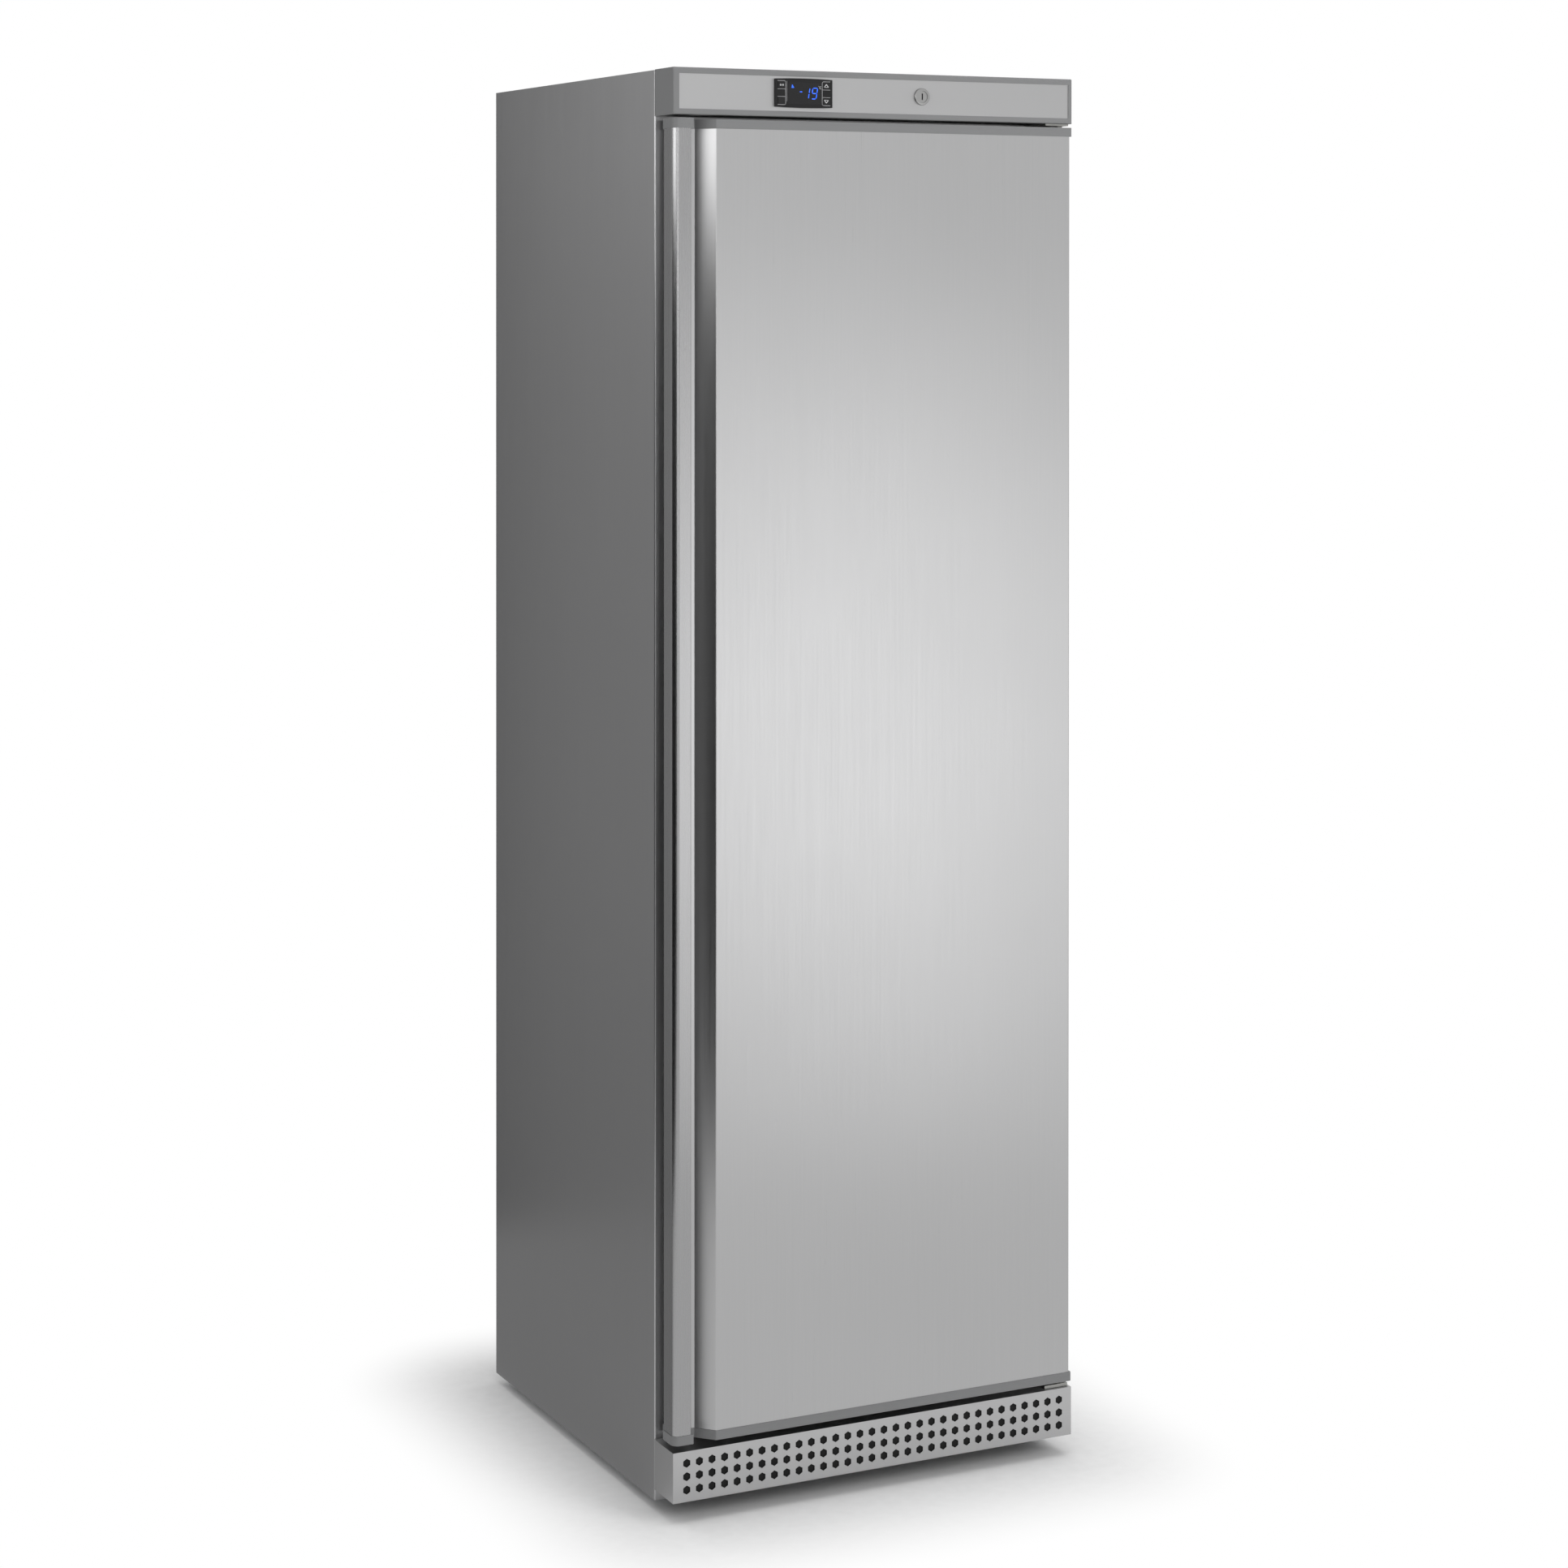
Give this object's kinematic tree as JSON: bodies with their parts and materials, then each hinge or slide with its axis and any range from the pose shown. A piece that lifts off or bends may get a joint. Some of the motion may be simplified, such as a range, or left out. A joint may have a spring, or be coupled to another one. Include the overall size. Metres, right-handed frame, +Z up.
{
  "type": "upright freezer",
  "caption": "Upright single-door freezer in brushed steel with a full-height edge grip, key lock, front controller, perforated kick grille and evaporator shelves.",
  "frame": {"origin": "on the floor, midway between the sides and between the door's face and the rear edges", "axes": "+Z up; -Y is the front, towards someone facing the door; +X is to that person's right"},
  "size_m": [0.6, 0.5881, 1.865],
  "materials": {
    "side_steel": "fine brushed stainless steel",
    "door_steel": "vertically brushed stainless steel",
    "fascia_steel": "brushed stainless steel",
    "grille_steel": "fine brushed stainless steel, punched",
    "handle_metal": "satin anodised aluminium",
    "header_plastic": "fine-grained grey plastic",
    "cap_plastic": "satin grey plastic",
    "controller_plastic": "satin dark plastic",
    "window_plastic": "black tinted window over a blue display",
    "button_plastic": "soft dark plastic",
    "lock_metal": "bright nickel plating",
    "galvanised": "galvanised steel",
    "liner_white": "white food-grade plastic",
    "foam": "cut polyurethane foam",
    "seal_rubber": "soft grey seal",
    "shelf_white": "white coated steel",
    "clip_plastic": "white nylon",
    "black_steel": "semi-gloss black paint",
    "copper": "bare copper",
    "black_plastic": "black plastic",
    "black_rubber": "black rubber",
    "bolt_steel": "zinc-plated steel",
    "bush_plastic": "white acetal"
  },
  "bodies": {
    "cabinet": {"side_panel_left": "side_steel", "side_panel_right": "side_steel", "top_panel": "galvanised", "back_panel": "galvanised", "base_panel": "galvanised", "front_frame_top": "side_steel", "front_frame_bottom": "side_steel", "inner_liner": "liner_white", "cabinet_foam": "foam", "evaporator_shelves": "shelf_white", "shelf_wires": "shelf_white", "shelf_clips": "clip_plastic", "temperature_probe": "black_plastic", "header_bezel": "header_plastic", "fascia_plate": "fascia_steel", "controller": "controller_plastic", "controller_window": "window_plastic", "lock_housing": "lock_metal", "kick_grille": "grille_steel", "top_hinge_bracket": "bolt_steel", "bottom_hinge_bracket": "bolt_steel", "hinge_pins": "bolt_steel", "hinge_screws": "bolt_steel", "base_rails": "galvanised", "foot_nuts": "bolt_steel", "roller_axles": "bolt_steel", "compressor_plate": "galvanised", "compressor": "black_steel", "compressor_legs": "black_steel", "compressor_grommets": "black_rubber", "compressor_bolts": "bolt_steel", "relay_box": "black_plastic", "condenser_coil": "black_steel", "condenser_wires": "black_steel", "condenser_standoffs": "black_plastic", "discharge_tube": "copper", "suction_tube": "copper", "liquid_tube": "copper", "filter_drier": "copper", "terminal_box": "black_plastic", "cord_gland": "black_plastic"},
    "door": {"door_skin": "door_steel", "door_liner": "liner_white", "door_foam": "foam", "handle_profile": "handle_metal", "door_top_cap": "cap_plastic", "door_bottom_cap": "cap_plastic", "lock_strike": "bolt_steel", "hinge_bushes": "bush_plastic", "door_gasket": "seal_rubber"},
    "lock": {"lock_plug": "lock_metal", "lock_cam": "bolt_steel"},
    "button_defrost": {"button_defrost": "button_plastic"},
    "button_set": {"button_set": "button_plastic"},
    "button_up": {"button_up": "button_plastic"},
    "button_down": {"button_down": "button_plastic"},
    "levelling_foot_left": {"levelling_foot_left": "black_plastic"},
    "levelling_foot_right": {"levelling_foot_right": "black_plastic"},
    "roller_left": {"roller_left": "black_plastic"},
    "roller_right": {"roller_right": "black_plastic"}
  },
  "joints": [
    {"name": "door_hinge", "type": "hinge", "parent": "cabinet", "child": "door", "pos_m": [0.287, -0.2775, 0.95], "axis": [0, 0, 1], "range_deg": [0, 110]},
    {"name": "lock_turn", "type": "hinge", "parent": "cabinet", "child": "lock", "pos_m": [0.0653, -0.28, 1.8354], "axis": [0, 1, 0], "range_deg": [0, 90]},
    {"name": "button_defrost_press", "type": "slide", "parent": "cabinet", "child": "button_defrost", "axis": [0, 1, 0], "range_m": [0, 0.0006], "stiffness_N_per_m": 800, "springref_m": -0.0006},
    {"name": "button_set_press", "type": "slide", "parent": "cabinet", "child": "button_set", "axis": [0, 1, 0], "range_m": [0, 0.0006], "stiffness_N_per_m": 800, "springref_m": -0.0006},
    {"name": "button_up_press", "type": "slide", "parent": "cabinet", "child": "button_up", "axis": [0, 1, 0], "range_m": [0, 0.0006], "stiffness_N_per_m": 800, "springref_m": -0.0006},
    {"name": "button_down_press", "type": "slide", "parent": "cabinet", "child": "button_down", "axis": [0, 1, 0], "range_m": [0, 0.0006], "stiffness_N_per_m": 800, "springref_m": -0.0006},
    {"name": "levelling_foot_left_adjust", "type": "slide", "parent": "cabinet", "child": "levelling_foot_left", "axis": [0, 0, -1], "range_m": [-0.003, 0.015]},
    {"name": "levelling_foot_right_adjust", "type": "slide", "parent": "cabinet", "child": "levelling_foot_right", "axis": [0, 0, -1], "range_m": [-0.003, 0.015]},
    {"name": "roller_left_spin", "type": "hinge", "parent": "cabinet", "child": "roller_left", "pos_m": [-0.2692, 0.2525, 0.02], "axis": [1, 0, 0], "continuous": true},
    {"name": "roller_right_spin", "type": "hinge", "parent": "cabinet", "child": "roller_right", "pos_m": [0.2692, 0.2525, 0.02], "axis": [1, 0, 0], "continuous": true}
  ]
}
